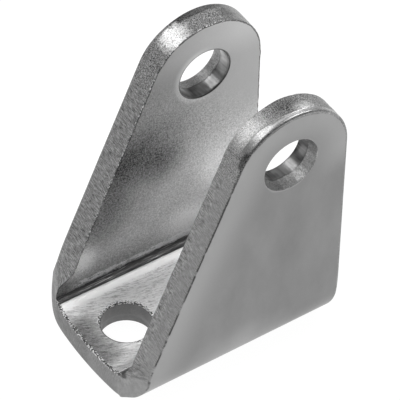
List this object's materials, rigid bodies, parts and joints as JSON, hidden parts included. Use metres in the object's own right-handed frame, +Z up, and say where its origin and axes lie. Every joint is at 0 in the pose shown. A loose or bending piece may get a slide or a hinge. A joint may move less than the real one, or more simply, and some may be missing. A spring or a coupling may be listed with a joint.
{
  "type": "cylinder swivel mount",
  "caption": "U-shaped foot folded from zinc-plated steel sheet; a pin through its ears carries a small air cylinder's rear eye, and screws hold its base.",
  "frame": {"origin": "on the base's underside, midway between the two screw holes", "axes": "+X across the ears along the pin, +Y towards the upright back edge, +Z up from the mounting surface"},
  "size_m": [0.0184, 0.0256, 0.0337],
  "materials": {
    "zinc_plated_steel": "punched and folded sheet, satin zinc plating with a matt fine grain"
  },
  "bodies": {
    "root": {"clevis_bracket": "zinc_plated_steel"}
  },
  "joints": []
}
